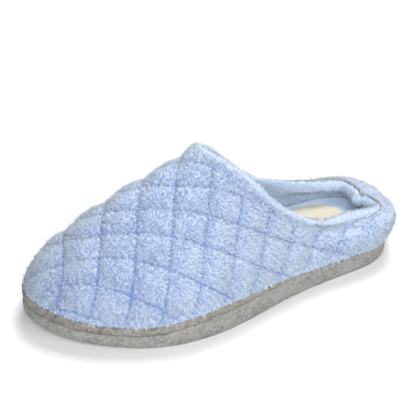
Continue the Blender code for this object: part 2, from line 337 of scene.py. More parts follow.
class Shader:
    """A node tree with short calls to add and join nodes."""

    def __init__(self, tree: bpy.types.NodeTree) -> None:
        """Keeps the tree to work in."""
        self.tree = tree

    def node(self, kind: str, **values: object) -> bpy.types.Node:
        """Adds a node.

        Args:
            kind: the node's type, without its prefix.
            values: properties, or input sockets by name with _ for a space.

        Returns:
            The node.
        """
        made = self.tree.nodes.new("ShaderNode" + kind)
        for key, value in values.items():
            if hasattr(made, key):
                setattr(made, key, value)
            else:
                made.inputs[key.replace("_", " ")].default_value = value
        return made

    def group(self, tree: bpy.types.NodeTree, **values: float) -> bpy.types.Node:
        """Places a node group on Object coordinates.

        Args:
            tree: the group.
            values: its other inputs by name, with _ for a space.

        Returns:
            The group's node.
        """
        made = self.node("Group", node_tree=tree)
        self.join(self.node("TexCoord").outputs["Object"], made.inputs["Vector"])
        for key, value in values.items():
            made.inputs[key.replace("_", " ")].default_value = value
        return made

    def join(self, out: bpy.types.NodeSocket, into: bpy.types.NodeSocket) -> None:
        """Links an output to an input."""
        self.tree.links.new(out, into)

    def feed(self, into: bpy.types.NodeSocket, value: object) -> None:
        """Links an output to an input, or sets a plain value on it.

        Args:
            into: the input.
            value: an output's socket, a number or a colour.
        """
        if isinstance(value, bpy.types.NodeSocket):
            self.join(value, into)
        else:
            into.default_value = value

    def maths(self, operation: str, first: object, second: object) -> bpy.types.NodeSocket:
        """A Math node of two sockets or numbers, and its output.

        Args:
            operation: the node's operation.
            first: a socket or a number.
            second: a socket or a number.

        Returns:
            The result's socket.
        """
        made = self.node("Math", operation=operation)
        self.feed(made.inputs[0], first)
        self.feed(made.inputs[1], second)
        return made.outputs[0]

    def blend(self, factor: object, dark: object, light: object) -> bpy.types.NodeSocket:
        """A mix of two colours or sockets by a factor, and its output.

        Args:
            factor: 0 for the dark colour, 1 for the light one.
            dark: a colour or a socket.
            light: a colour or a socket.

        Returns:
            The colour's socket.
        """
        made = self.node("Mix", data_type="RGBA")
        inputs = {socket.identifier: socket for socket in made.inputs}
        self.feed(inputs["Factor_Float"], factor)
        self.feed(inputs["A_Color"], dark)
        self.feed(inputs["B_Color"], light)
        return next(socket for socket in made.outputs if socket.identifier == "Result_Color")

    def spread(self, value: bpy.types.NodeSocket, low: float, high: float) -> bpy.types.NodeSocket:
        """A value spread so that low becomes 0 and high becomes 1, and its output.

        Args:
            value: the value's socket.
            low: what becomes 0.
            high: what becomes 1.

        Returns:
            The result's socket.
        """
        made = self.node("MapRange", From_Min=low, From_Max=high)
        self.join(value, made.inputs["Value"])
        return made.outputs["Result"]


def rgba(colour: Colour) -> tuple[float, float, float, float]:
    """A colour with full alpha."""
    return (*colour, 1.0)


class EffectGroup:
    """Node groups for the effects that several finishes share, each built once."""

    MOTTLE = "Fibre mottle"
    WEAVE = "Cloth weave"

    @staticmethod
    def begin(name: str, inputs: tuple[str, ...], outputs: tuple[str, ...]) -> bpy.types.NodeTree:
        """A new group with a Vector input and sockets for numbers.

        Args:
            name: the group's name.
            inputs: names of its other inputs.
            outputs: names of its outputs.

        Returns:
            The group, without nodes.
        """
        tree = bpy.data.node_groups.new(name, "ShaderNodeTree")
        tree.interface.new_socket("Vector", in_out="INPUT", socket_type="NodeSocketVector")
        for way, sockets in (("INPUT", inputs), ("OUTPUT", outputs)):
            for socket in sockets:
                tree.interface.new_socket(socket, in_out=way, socket_type="NodeSocketFloat")
        return tree

    @classmethod
    def mottle(cls) -> bpy.types.NodeTree:
        """Soft cloudy and fine fibrous noise, as a value round one half and as a height.

        Returns:
            The group.
        """
        tree = bpy.data.node_groups.get(cls.MOTTLE)
        if tree is not None:
            return tree
        tree = cls.begin(cls.MOTTLE, ("Cloud Scale", "Fibre Scale", "Fibre Share"), ("Value", "Height"))
        work = Shader(tree)
        inside = tree.nodes.new("NodeGroupInput")
        outside = tree.nodes.new("NodeGroupOutput")
        cloud = work.node("TexNoise", Detail=2.0, Roughness=0.5)
        fibre = work.node("TexNoise", Detail=4.0, Roughness=0.7, Distortion=0.6)
        for noise, scale in ((cloud, "Cloud Scale"), (fibre, "Fibre Scale")):
            work.join(inside.outputs["Vector"], noise.inputs["Vector"])
            work.join(inside.outputs[scale], noise.inputs["Scale"])
        step = work.maths("SUBTRACT", fibre.outputs["Fac"], cloud.outputs["Fac"])
        step = work.maths("MULTIPLY", step, inside.outputs["Fibre Share"])
        work.join(work.maths("ADD", cloud.outputs["Fac"], step), outside.inputs["Value"])
        work.join(fibre.outputs["Fac"], outside.inputs["Height"])
        return tree

    @classmethod
    def weave(cls) -> bpy.types.NodeTree:
        """Crossing threads: the higher of two bands of waves, as a height.

        Returns:
            The group.
        """
        tree = bpy.data.node_groups.get(cls.WEAVE)
        if tree is not None:
            return tree
        tree = cls.begin(cls.WEAVE, ("Scale",), ("Height",))
        work = Shader(tree)
        inside = tree.nodes.new("NodeGroupInput")
        outside = tree.nodes.new("NodeGroupOutput")
        bands = []
        for way in ("X", "Y"):
            wave = work.node("TexWave", bands_direction=way, Distortion=1.2, Detail_Scale=2.0)
            work.join(inside.outputs["Vector"], wave.inputs["Vector"])
            work.join(inside.outputs["Scale"], wave.inputs["Scale"])
            bands.append(wave.outputs["Fac"])
        work.join(work.maths("MAXIMUM", *bands), outside.inputs["Height"])
        return tree


@dataclass(frozen=True)
class Finish:
    """What every finish holds: its name, its plain shader values, its mottle and its relief."""

    name: str
    roughness: float
    sheen: float = 0.0
    sheen_roughness: float = 0.6
    specular: float = 0.15
    cloud: float = 70.0
    fibre: float = 700.0
    fibre_share: float = 0.5
    relief_depth: float = 0.12 * MM
    relief_strength: float = 0.5

    def start(self) -> tuple[bpy.types.Material, Shader, bpy.types.Node, bpy.types.Node]:
        """A new material with the plain values set on its own shader.

        Returns:
            The material, its node tree's helper, its Principled shader and its mottle.
        """
        material = bpy.data.materials.new(self.name)
        material.use_nodes = True
        surface = material.node_tree.nodes["Principled BSDF"]
        surface.inputs["Roughness"].default_value = self.roughness
        surface.inputs["Sheen Weight"].default_value = self.sheen
        surface.inputs["Sheen Roughness"].default_value = self.sheen_roughness
        surface.inputs["Specular IOR Level"].default_value = self.specular
        work = Shader(material.node_tree)
        return material, work, surface, self.mottle(work, self.cloud, self.fibre, self.fibre_share)

    @staticmethod
    def mottle(work: Shader, cloud: float, fibre: float, share: float) -> bpy.types.Node:
        """Places the mottle group.

        Args:
            work: the material's node tree.
            cloud: scale of the cloudy noise.
            fibre: scale of the fibrous noise.
            share: how much of the value is fibrous.

        Returns:
            The group's node.
        """
        return work.group(EffectGroup.mottle(), Cloud_Scale=cloud, Fibre_Scale=fibre, Fibre_Share=share)

    def bump(self, work: Shader, surface: bpy.types.Node, height: bpy.types.NodeSocket) -> None:
        """Feeds a height to the shader's normal through a Bump node.

        Args:
            work: the material's node tree.
            surface: its shader.
            height: the relief, from 0 to 1.
        """
        made = work.node("Bump", Strength=self.relief_strength, Distance=self.relief_depth)
        work.join(height, made.inputs["Height"])
        work.join(made.outputs["Normal"], surface.inputs["Normal"])


@dataclass(frozen=True)
class PlushFinish(Finish):
    """Pile that is deep at its roots and light at its tips, by the piece's own shade attribute: painted
    shade between the tufts and painted light on their tips.
    """

    cloud: float = 60.0
    fibre: float = 900.0
    fibre_share: float = 0.6
    relief_depth: float = 0.4 * MM
    # root is the painted shade deep between the tufts, tip the painted light on them.
    root: Colour = (0.12, 0.19, 0.46)
    tip: Colour = (0.71, 0.83, 0.96)
    swing: float = 0.7

    def material(self) -> bpy.types.Material:
        """Shade from root to tip, broken up by fibrous noise.

        Returns:
            The material.
        """
        material, work, surface, mottle = self.start()
        # The shade attribute holds painted light and shade with some random tone; the mottle adds more
        # random tone.
        shade = work.node("Attribute", attribute_name="shade").outputs["Fac"]
        swing = work.maths("SUBTRACT", mottle.outputs["Value"], 0.5)
        shade = work.maths("ADD", shade, work.maths("MULTIPLY", swing, self.swing))
        work.join(work.blend(shade, rgba(self.root), rgba(self.tip)), surface.inputs["Base Color"])
        self.bump(work, surface, mottle.outputs["Height"])
        return material


@dataclass(frozen=True)
class FeltFinish(Finish):
    """Felt with a mottled ground and pale flecks, finer than the ground by two factors."""

    cloud: float = 90.0
    fibre: float = 420.0
    fibre_share: float = 0.75
    relief_depth: float = 0.5 * MM
    relief_strength: float = 0.6
    ground: Colour = (0.315, 0.314, 0.302)
    ground_from: float = 0.58
    deep: Colour = (0.15, 0.147, 0.138)
    deep_to: float = 0.36
    fleck: Colour = (0.57, 0.57, 0.555)
    fleck_range: tuple[float, float] = (0.56, 0.70)
    fleck_cloud: float = 1.9
    fleck_fibre: float = 2.6
    fleck_share: float = 0.5

    def material(self) -> bpy.types.Material:
        """Two grounds by fibrous noise, then flecks where a finer noise peaks.

        Returns:
            The material.
        """
        material, work, surface, mottle = self.start()
        ground = work.node("ValToRGB")
        stops = ((self.deep_to, self.deep), (self.ground_from, self.ground))
        for element, (position, colour) in zip(ground.color_ramp.elements, stops):
            element.position = position
            element.color = rgba(colour)
        work.join(mottle.outputs["Value"], ground.inputs["Fac"])
        scales = self.fibre * self.fleck_cloud, self.fibre * self.fleck_fibre
        flecks = self.mottle(work, *scales, self.fleck_share)
        peak = work.spread(flecks.outputs["Value"], *self.fleck_range)
        colour = work.blend(peak, ground.outputs["Color"], rgba(self.fleck))
        work.join(colour, surface.inputs["Base Color"])
        self.bump(work, surface, mottle.outputs["Height"])
        return material


@dataclass(frozen=True)
class ClothFinish(Finish):
    """Woven cloth: a thread relief and a slight cloudiness."""

    light: Colour = (0.77, 0.89, 1.0)
    deep: Colour = (0.62, 0.77, 0.98)
    cloud_range: tuple[float, float] = (0.35, 0.65)
    threads: float = 260.0

    def material(self) -> bpy.types.Material:
        """Two close colours by noise, with the weave as relief.

        Returns:
            The material.
        """
        material, work, surface, mottle = self.start()
        spread = work.spread(mottle.outputs["Value"], *self.cloud_range)
        work.join(work.blend(spread, rgba(self.deep), rgba(self.light)), surface.inputs["Base Color"])
        weave = work.group(EffectGroup.weave(), Scale=self.threads)
        self.bump(work, surface, weave.outputs["Height"])
        return material


BLUE_PLUSH = PlushFinish("blue plush", roughness=0.95, sheen=0.25)
GREY_FELT = FeltFinish("grey felt", roughness=0.95, sheen=0.05)
COARSE_FELT = replace(
    GREY_FELT, name="coarse grey felt", ground=(0.29, 0.28, 0.256), deep=(0.12, 0.112, 0.098), fibre=330.0
)
INSOLE_CLOTH = ClothFinish("blue insole cloth", roughness=0.9, sheen=0.1)
LABEL_CLOTH = ClothFinish(
    "cream label", roughness=0.85, light=(0.74, 0.68, 0.56), deep=(0.68, 0.62, 0.50), threads=420.0
)
PIPING_TAPE = ClothFinish(
    "grey tape", roughness=0.85, light=(0.40, 0.40, 0.38), deep=(0.20, 0.20, 0.19), threads=520.0
)


class Piece:
    """Mesh objects made from whole arrays of points."""

    MERGE_DISTANCE = 0.02 * MM

    @staticmethod
    def mesh(
        name: str,
        points: Array,
        faces: Array,
        material: bpy.types.Material,
        shade: Array | None = None,
        normals: Array | None = None,
    ) -> bpy.types.Object:
        """A smooth mesh object in the frame, from points and equal faces.

        Args:
            name: the object's name.
            points: working points (x, a, z), one row each.
            faces: rows of three or four point numbers.
            material: its finish.
            shade: painted root-to-tip shade of each point, for plush, with some random tone.
            normals: normals to shade with, in working directions.

        Returns:
            The object, at the origin.
        """
        mesh = bpy.data.meshes.new(name)
        corners = faces.shape[1]
        mesh.vertices.add(len(points))
        mesh.vertices.foreach_set("co", FORM.to_frame(points).astype(np.float32).ravel())
        mesh.loops.add(faces.size)
        mesh.loops.foreach_set("vertex_index", faces.astype(np.int32).ravel())
        mesh.polygons.add(len(faces))
        mesh.polygons.foreach_set("loop_start", np.arange(0, faces.size, corners, dtype=np.int32))
        if shade is not None:
            held = mesh.attributes.new("shade", "FLOAT", "POINT")
            held.data.foreach_set("value", shade.astype(np.float32).ravel())
        mesh.update(calc_edges=True)
        mesh.shade_smooth()
        if normals is not None:
            turned = unit(normals) * np.array([1.0, -1.0, 1.0])
            mesh.normals_split_custom_set_from_vertices(turned.astype(np.float32))
        mesh.materials.append(material)
        made = bpy.data.objects.new(name, mesh)
        bpy.context.scene.collection.objects.link(made)
        return made

    @staticmethod
    def rings_faces(rows: int, count: int, closed: bool = False) -> Array:
        """Faces of a grid of rings that run up the outside of a piece.

        Args:
            rows: number of rings.
            count: points in a ring.
            closed: whether the last ring joins the first.

        Returns:
            Rows of four point numbers.
        """
        row = np.arange(rows if closed else rows - 1)[:, None]
        place = np.arange(count)[None, :]
        after, beside = (row + 1) % rows, (place + 1) % count
        this, above = row * count, after * count
        corners = this + place, above + place, above + beside, this + beside
        return np.stack(np.broadcast_arrays(*corners), axis=-1).reshape(-1, 4)

    @staticmethod
    def grid_faces(rows: int, steps: int) -> Array:
        """Faces of an open grid of points, row by row."""
        first = np.arange(rows - 1)[:, None] * steps + np.arange(steps - 1)[None, :]
        return np.stack([first, first + 1, first + steps + 1, first + steps], axis=-1).reshape(-1, 4)

    @staticmethod
    def across(ring: Array, steps: int) -> Array:
        """Points of a closed ring carried straight across the foot, outer to inner side.

        Args:
            ring: the ring's points, from the heel along the outer side and home.
            steps: number of steps across.

        Returns:
            A grid: one row for each rung from heel to toe, one column for each step.
        """
        half = len(ring) // 2
        outer, inner = ring[: half + 1], np.roll(ring[::-1], 1, axis=0)[: half + 1]
        share = np.linspace(0, 1, steps + 1)[None, :, None]
        return outer[:, None] * (1 - share) + inner[:, None] * share

    @classmethod
    def slab(
        cls,
        name: str,
        rings: list[Array],
        steps: int,
        material: bpy.types.Material,
        top: Array | None = None,
    ) -> bpy.types.Object:
        """A closed solid: rings up its side, with one grid across its top and one below.

        Args:
            name: the object's name.
            rings: rings from the lower to the upper edge.
            steps: number of steps across the top and the underside.
            material: its finish.
            top: grid across the top where it isn't straight.

        Returns:
            The object, with the shared edges merged.
        """
        count = len(rings[0])
        top = cls.across(rings[-1], steps) if top is None else top
        bottom = cls.across(rings[0], steps)
        side = cls.rings_faces(len(rings), count)
        points = np.concatenate([*rings, top.reshape(-1, 3), bottom.reshape(-1, 3)])
        lid = cls.grid_faces(*top.shape[:2])[:, ::-1] + len(rings) * count
        floor = cls.grid_faces(*bottom.shape[:2]) + len(rings) * count + top[..., 0].size
        made = cls.mesh(name, points, np.concatenate([side, lid, floor]), material)
        cls.merge(made)
        return made

    @classmethod
    def merge(cls, made: bpy.types.Object) -> None:
        """Merges points that lie on each other, drops faces that vanish and turns the rest outwards.

        Args:
            made: the piece.
        """
        work = bmesh.new()
        work.from_mesh(made.data)
        bmesh.ops.remove_doubles(work, verts=work.verts, dist=cls.MERGE_DISTANCE)
        bmesh.ops.recalc_face_normals(work, faces=work.faces)
        work.to_mesh(made.data)
        work.free()


def hand_over(made: bpy.types.Object, slot: str, *nodes: str) -> bpy.types.Object:
    """Fixes a piece to the body and hides the solids that it stands for.

    Args:
        made: the piece.
        slot: the material slot that it fills; not used.
        nodes: solids that it replaces.

    Returns:
        The piece.
    """
    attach(made, "root")
    if nodes:
        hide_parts(*nodes)
    LOG.info("%s: %d points, %d faces", made.name, len(made.data.vertices), len(made.data.polygons))
    return made


@dataclass(frozen=True)
class Sole:
    """Felt-covered sole: a lower band, and an upper band over a thin groove.

    A band's rings lie at shares of its height, and their insets are in millimetres.
    """

    lump: float = 0.10 * MM
    lump_length: float = 2.2 * MM
    fine_lump: float = 0.8
    band_steps: int = 24
    band_shares: Numbers = (0.0, 0.02, 0.06, 0.12, 0.2, 0.3, 0.42, 0.55, 0.68, 0.8, 0.88, 0.94, 0.98, 1.0)
    band_insets: Numbers = (1.6, 1.0, 0.6, 0.3, 0.1, 0.0, 0.0, 0.0, 0.05, 0.15, 0.35, 0.7, 1.1, 1.8)
    strip_steps: int = 12
    strip_shares: Numbers = (0.0, 0.06, 0.16, 0.3, 0.45, 0.6, 0.75, 0.88, 0.96, 1.0)
    strip_insets: Numbers = (1.7, 0.9, 0.45, 0.2, 0.12, 0.1, 0.12, 0.2, 0.4, 0.9)
    core_insets: tuple[float, float] = (4.8, 6.0)

    def felted(self, rings: list[Array]) -> list[Array]:
        """Rings with the felt's unevenness: each point moved out by smooth noise.

        Args:
            rings: smooth rings.

        Returns:
            The uneven rings.
        """
        grid = np.stack(rings)
        away = unit((grid - grid.mean(axis=(0, 1))) * LEVEL)
        lump = ripple(grid, self.lump_length, Seed.FELT)
        lump = lump + self.fine_lump * ripple(grid, self.lump_length * 0.5, Seed.FINE_FELT)
        return list(grid + away * (self.lump * lump)[..., None])

    def lower_band(self, finish: FeltFinish) -> bpy.types.Object:
        """Outsole: round at the floor, upright side, small round into the groove.

        Args:
            finish: the band's felt.

        Returns:
            The piece.
        """
        band = FORM.column("band")[:, 0] * MM
        rings = FORM.rings((share * band for share in self.band_shares), self.band_insets)
        rings[2:-2] = self.felted(rings[2:-2])
        made = Piece.slab("outsole_felt", rings, self.band_steps, finish.material())
        return hand_over(made, "felt_outsole", "outsole")

    def upper_band(self, finish: FeltFinish) -> bpy.types.Object:
        """Platform: the strip that shows under the plush, and a core under the insole.

        Args:
            finish: the strip's felt.

        Returns:
            The piece.
        """
        strip = FORM.column("strip")[:, 0] * MM
        heights = (FORM.strip_foot + share * strip for share in self.strip_shares)
        rings = FORM.rings(heights, self.strip_insets)
        rings[2:-1] = self.felted(rings[2:-1])
        rings += FORM.rings((FORM.strip_top, FORM.core_top), self.core_insets)
        made = Piece.slab("platform_felt", rings, self.strip_steps, finish.material())
        return hand_over(made, "felt_platform", "platform")


@dataclass(frozen=True)
class Footbed:
    """Padded insole with its shallow dish, and the bare oval label on the heel seat.

    The edge's rings have their heights and insets in millimetres. The label's rings have sizes as
    shares of the oval and heights in millimetres.
    """

    rise: float = 3.1 * MM
    dish: float = 0.35 * MM
    top_steps: int = 60
    under_steps: int = 12
    edge_heights: Numbers = (0.0, 0.8, 1.6, 2.2, 2.65, 2.95, 3.1)
    edge_insets: Numbers = (6.4, 6.15, 6.1, 6.35, 6.8, 7.5, 8.6)
    label_length: float = 46 * MM
    label_width: float = 38 * MM
    label_x: float = -1 * MM
    label_a: float = 48.5 * MM
    label_around: int = 96
    label_steps: int = 4
    label_sizes: Numbers = (1.0, 1.0, 0.992, 0.975, 0.95, 0.92, 0.88, 0.7, 0.5, 0.3, 0.1)
    label_heights: Numbers = (0.0, 0.45, 0.75, 0.85, 0.8, 0.62, 0.8, 0.82, 0.8, 0.8, 0.8)

    def insole(self, finish: ClothFinish) -> bpy.types.Object:
        """Insole: straight edge, rounded shoulder, and a top that dips by a squared sine across.

        Args:
            finish: the insole's cloth.

        Returns:
            The piece.
        """
        rings = FORM.rings((FORM.insole_foot + h * MM for h in self.edge_heights), self.edge_insets)
        top = Piece.across(rings[-1], self.top_steps)
        share = np.linspace(0, 1, self.top_steps + 1)[None, :]
        top[..., 2] = FORM.underside(top[..., :2]) + FORM.insole_foot + self.rise
        top[..., 2] -= self.dish * np.sin(math.pi * share) ** 2
        top[:, [0, -1]] = Piece.across(rings[-1], 1)
        made = Piece.slab("insole_cloth", rings, self.under_steps, finish.material(), top)
        hand_over(made, "insole_cloth", "insole")
        return made

    def label(self, finish: ClothFinish) -> bpy.types.Object:
        """Label: an oval in rings from its edge, rounded and sewn down, to its middle.

        Args:
            finish: the label's cloth.

        Returns:
            The piece.
        """
        turn = np.linspace(0, 2 * math.pi, self.label_around, endpoint=False)
        across, along = self.label_width / 2, self.label_length / 2
        oval = np.stack([np.sin(turn) * across, -np.cos(turn) * along], axis=1)
        middle = np.array([self.label_x, self.label_a])
        foot = FORM.insole_foot + self.rise + GAP
        table = zip(self.label_sizes, self.label_heights)
        rings = [FORM.level(middle + oval * size, foot + height * MM) for size, height in table]
        made = Piece.slab("heel_label", rings, self.label_steps, finish.material())
        return hand_over(made, "label_cloth", "label")


@dataclass(frozen=True)
class Quilting:
    """Seams that quilt the plush in squares, which lie aslant over the foot.

    Places are turns about a long axis low in the foot, counted apart for the outer and the inner
    side of a soft ridge. A fall is how far a family of seams goes back along the foot for each
    radian down its own side, and the slant is how far it goes ahead down the other side. A change
    is what is added for each bend length ahead of the middle. A spread is how much wider the
    spacing gets at a quarter turn.
    """

    axis_height: float = 12 * MM
    ridge_softness: float = 0.15
    middle: float = 150 * MM
    bend_length: float = 100 * MM
    slant: float = 24.7 * MM
    slant_change: float = -11.4 * MM
    long_start: float = 243.5 * MM
    long_curve: float = -8.1 * MM
    long_fall: float = 84.3 * MM
    long_fall_change: float = 27.3 * MM
    long_spacing: float = 21.1 * MM
    long_spread: float = 1.65
    cross_start: float = 154.5 * MM
    cross_fall: float = 72.2 * MM
    cross_spacing: float = 24.0 * MM
    cross_spread: float = 0.8
    hem_fade: float = 0.06
    collar_fade: float = 0.09
    heel_end: float = 16 * MM
    heel_fade: float = 34 * MM
    depth: float = 2.8 * MM
    fullness: float = 0.4
    crease_width: float = 0.2

    def waves(self, smooth: Array) -> tuple[Array, Array]:
        """Waves of the long and the cross seams, 0 on a seam and 1 in the middle between two.

        Each wave is the sine of half a turn to a step. The steps are the distance along the foot
        from where the family starts, over its spacing.

        Args:
            smooth: the outside's points.

        Returns:
            The two waves at each point.
        """
        along = smooth[..., 1]
        bend = (along - self.middle) / self.bend_length
        turn = np.arctan2(smooth[..., 0], smooth[..., 2] - self.axis_height)
        outer = self.ridge_softness * np.log1p(np.exp(turn / self.ridge_softness))
        inner = outer - turn
        slant = self.slant + self.slant_change * bend
        fall = self.long_fall + self.long_fall_change * bend
        long_start = self.long_start + self.long_curve * bend**2 - fall * outer + slant * inner
        cross_start = self.cross_start - self.cross_fall * inner + slant * outer
        long_spacing = self.long_spacing * (1 + self.long_spread * np.sin(outer))
        cross_spacing = self.cross_spacing * (1 + self.cross_spread * np.sin(inner))
        long_wave = np.sin(math.pi * (long_start - along) / long_spacing)
        cross_wave = np.sin(math.pi * (cross_start - along) / cross_spacing)
        return np.abs(long_wave), np.abs(cross_wave)

    def extent(self, smooth: Array) -> Array:
        """1 where the wall is quilted, falling to 0 at its edges and behind the heel.

        Args:
            smooth: the outside's points.

        Returns:
            A number from 0 to 1 at each point.
        """
        share = shares(len(smooth))[..., 0]
        edge = ramp(share, 0, self.hem_fade) * ramp(1 - share, 0, self.collar_fade)
        return edge * ramp(smooth[..., 1], self.heel_end, self.heel_fade)

    def puffs(self, smooth: Array) -> tuple[Array, Array]:
        """Puffs between the seams: a power of the two waves' product, and the creases at the seams.

        Args:
            smooth: the outside's points.

        Returns:
            The puffs, 0 on a seam and 1 at the fullest, and the creases, 1 on a seam.
        """
        long_wave, cross_wave = self.waves(smooth)
        crease = 1 - ramp(np.minimum(long_wave, cross_wave), 0, self.crease_width)
        return (long_wave * cross_wave) ** self.fullness, crease * self.extent(smooth)


@dataclass
class Upper:
    """Quilted plush upper: a closed wall of outside, rim and lining under the pile.

    The roll leaves the seam and turns into the lining along two ways, each a share outwards and a
    share upwards.
    """

    quilting: Quilting = Quilting()
    outer_rows: int = 124
    rim_rows: int = 14
    lining_rows: int = 30
    hem_inside: float = 4.4 * MM
    edge_thickness: float = 7.0 * MM
    edge_round: float = 0.66
    edge_widening: float = 2.6 * MM
    roll_in: float = 8.5 * MM
    roll_down: float = 2.5 * MM
    roll_rise: float = 11 * MM
    roll_round: float = 0.86
    roll_leaves: tuple[float, float] = (-0.57, 0.82)
    roll_turns: tuple[float, float] = (0.65, -0.35)
    roll_lining_rise: float = 20 * MM
    lining_reach: float = 0.88
    notch_depth: float = 1.2 * MM
    notch_inward: float = 2.5 * MM
    notch_half_width: float = 3.0 * MM
    notch_reach: float = 30 * MM
    pile_bed: float = 0.8 * MM
    pile_bed_fade: float = 0.06
    seam_limit: float = 0.45
    # Painted shade of the cloth under the pile: dark on the outside, darkest in the seams' creases; the
    # lining's cloth is painted lighter, as painted light inside the slipper.
    cloth_shade: float = 0.25
    lining_shade: float = 0.6

    def __post_init__(self) -> None:
        """Works out the wall's three surfaces and the puffs between its quilting seams."""
        self.roll = np.clip(FORM.column("roll"), 0, 1)
        outside, self.rim_handles, inside = self.handles()
        smooth = bezier(outside, shares(self.outer_rows))
        self.rim = bezier(self.rim_handles, shares(self.rim_rows + 2))[1:-1]
        self.lining = bezier(inside, shares(self.lining_rows))
        self.puff, self.crease = self.quilting.puffs(smooth)
        self.outer = smooth + ring_normals(smooth) * self.lift(smooth)[..., None]

    def collar_seam(self) -> Array:
        """The collar's seam, with a notch behind the heel that goes in and down by a bell curve.

        Returns:
            One point for each place round the foot.
        """
        seam = FORM.column("collar_x", "collar_a", "collar_z") * MM
        behind = seam[:, 1] < self.notch_reach
        near = np.exp(-(((seam[:, 0] - seam[0, 0]) / self.notch_half_width) ** 2)) * behind
        seam[:, 1] += self.notch_inward * near
        seam[:, 2] -= self.notch_depth * near
        return seam

    def either(self, plain: Array | float, rolled: Array | float) -> Array:
        """The plain edge's value where the collar is plain, the roll's where it is rolled."""
        return plain * (1 - self.roll) + rolled * self.roll

    def handles(self) -> tuple[Handles, Handles, Handles]:
        """Curves of the wall's profile at each place round the foot.

        The outside leaves the hem by the side's lean and reaches the collar's seam by the top's
        slope. The rim goes from the seam to an end square under it where the edge is plain, or
        further in where it is rolled. The lining goes from there to the inside of the hem. Where
        the profile lies askew to the seam, the end moves away from the seam by the squared sine of
        the angle between them, so that the wall keeps its thickness.

        Returns:
            Handles of the outside, the rim and the lining.
        """
        outline, seam = FORM.outline(), self.collar_seam()
        reach = FORM.column("side_reach", "top_reach") * MM
        side_reach, top_reach = reach[:, :1], reach[:, 1:]
        lean, slope = np.radians(FORM.column("side_lean", "top_slope")).T[..., None]
        seat = FORM.strip_top + GAP
        hem = FORM.level(FORM.inset(outline, -FORM.column("hem") * MM), seat)
        hem_inside = FORM.level(FORM.inset(outline, self.hem_inside), seat)
        out = unit((hem - seam) * LEVEL)
        side = out * np.sin(lean) + UP * np.cos(lean)
        top = out * np.cos(slope) + UP * np.sin(slope)
        square = UP * np.cos(slope) - out * np.sin(slope)
        leaves, turns = (out * share[0] + UP * share[1] for share in (self.roll_leaves, self.roll_turns))
        along = loop_way(seam)
        across = unit(np.stack([along[:, 1], -along[:, 0], np.zeros(len(seam))], axis=1))
        skew = 1 - np.sum(out * across, axis=1, keepdims=True) ** 2
        rolled_end = seam - out * self.roll_in - UP * self.roll_down
        end = self.either(seam - square * self.edge_thickness, rolled_end)
        end = end - across * self.edge_widening * skew
        start = self.either(-top * self.edge_thickness * self.edge_round, leaves * self.roll_rise)
        pull = self.either(top * top_reach * self.lining_reach, turns * self.roll_in)
        over = unit(pull) * self.either(self.edge_round, self.roll_round) * self.edge_thickness
        rise = self.either(side_reach * self.lining_reach, self.roll_lining_rise)
        outside = (hem, hem + side * side_reach, seam + top * top_reach, seam)
        inside = (end, end + pull, hem_inside + UP * rise, hem_inside)
        return outside, (seam, seam + start, end - over, end), inside

    def lift(self, smooth: Array) -> Array:
        """How far the outside lies off its smooth form.

        It goes in at the seams by their depth, and between its edges by the bed that the pile
        fills, but never by more than a share of the wall's thickness.

        Args:
            smooth: the smooth form's points.

        Returns:
            The distance along the normals at each point.
        """
        share = shares(self.outer_rows)[..., 0]
        bed = self.pile_bed * ramp(share, 0, self.pile_bed_fade) * ramp(1 - share, 0, self.pile_bed_fade)
        lift = (self.puff - 1) * self.quilting.depth * self.quilting.extent(smooth) - bed
        inner = np.concatenate([self.rim, self.lining])
        thickness = np.min(np.linalg.norm(smooth[:, None] - inner[None], axis=-1), axis=1)
        return np.maximum(lift, -self.seam_limit * thickness)

    def shell(self, finish: PlushFinish) -> bpy.types.Object:
        """The cloth of the wall under its pile: outside, rim and lining as one closed wall.

        Args:
            finish: the plush.

        Returns:
            The piece.
        """
        rings = np.concatenate([self.outer, self.rim, self.lining])
        # Painted shade in the outside's seam creases, and painted light on the lining.
        shade = np.full(rings.shape[:2], self.lining_shade)
        shade[: self.outer_rows] = self.cloth_shade * (1 - self.crease)
        faces = Piece.rings_faces(len(rings), FORM.around, closed=True)
        made = Piece.mesh("upper_cloth", rings.reshape(-1, 3), faces, finish.material(), shade)
        return hand_over(made, "plush", "upper")


